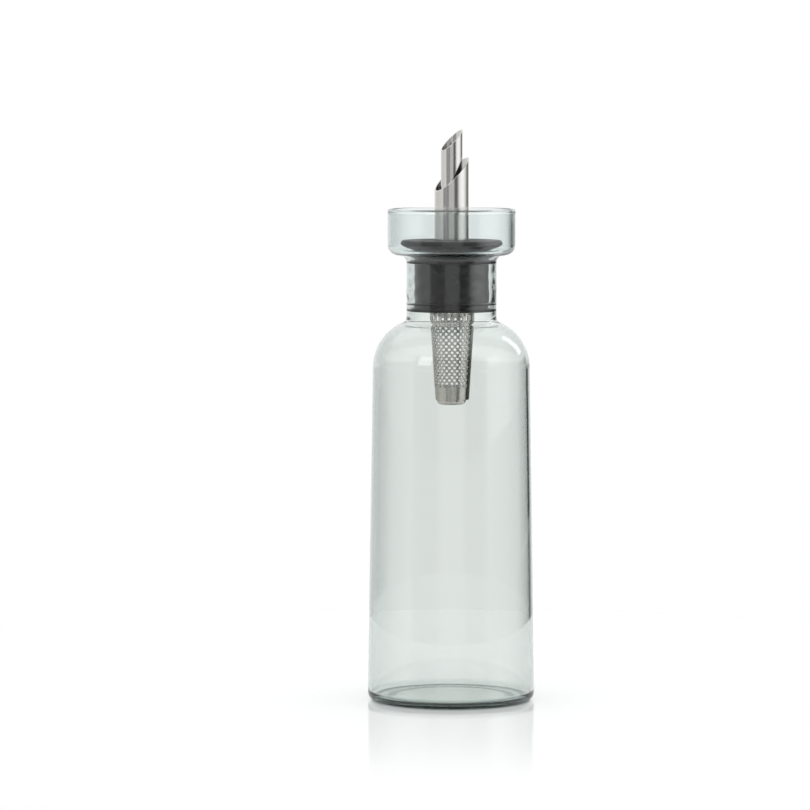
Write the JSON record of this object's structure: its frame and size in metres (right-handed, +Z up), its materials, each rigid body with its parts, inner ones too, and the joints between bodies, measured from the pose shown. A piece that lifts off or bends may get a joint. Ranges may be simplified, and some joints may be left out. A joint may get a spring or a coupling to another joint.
{
  "type": "oil dispenser",
  "caption": "Tall glass bottle with a drip dish round its mouth, a lift-out stopper carrying a slant-cut tube-in-tube spout, and a perforated sieve hanging inside the neck.",
  "frame": {"origin": "centre of the bottle's footprint, on the table", "axes": "+Z up along the bottle's axis; the spout's high edges point to +X and 22 degrees towards +Y; -Y is the front"},
  "size_m": [0.072, 0.072, 0.2461],
  "materials": {
    "bottle_glass": "clear, faint grey-green tint",
    "seal_silicone": "smooth satin",
    "stopper_plastic": "satin",
    "spout_steel": "drawn and polished",
    "spacer_plastic": "natural",
    "sieve_steel": "perforated sheet"
  },
  "bodies": {
    "bottle": {"bottle_body": "bottle_glass", "bottle_shoulder": "bottle_glass", "bottle_neck": "bottle_glass", "drip_dish": "bottle_glass"},
    "seal": {"seal_sleeve": "seal_silicone"},
    "stopper": {"stopper_core": "stopper_plastic", "outer_tube": "spout_steel", "inner_tube": "spout_steel", "tube_spacer": "spacer_plastic"},
    "sieve": {"sieve_cone": "sieve_steel", "sieve_cup": "sieve_steel"}
  },
  "joints": [
    {"name": "stopper_lift", "type": "slide", "parent": "bottle", "child": "seal", "axis": [0, 0, 1], "range_m": [0, 0.12]},
    {"name": "stopper_turn", "type": "hinge", "parent": "seal", "child": "stopper", "pos_m": [0, 0, 0.19213], "axis": [0, 0, 1], "continuous": true},
    {"name": "sieve_pull", "type": "slide", "parent": "stopper", "child": "sieve", "axis": [0, 0, -1], "range_m": [0, 0.02]}
  ]
}
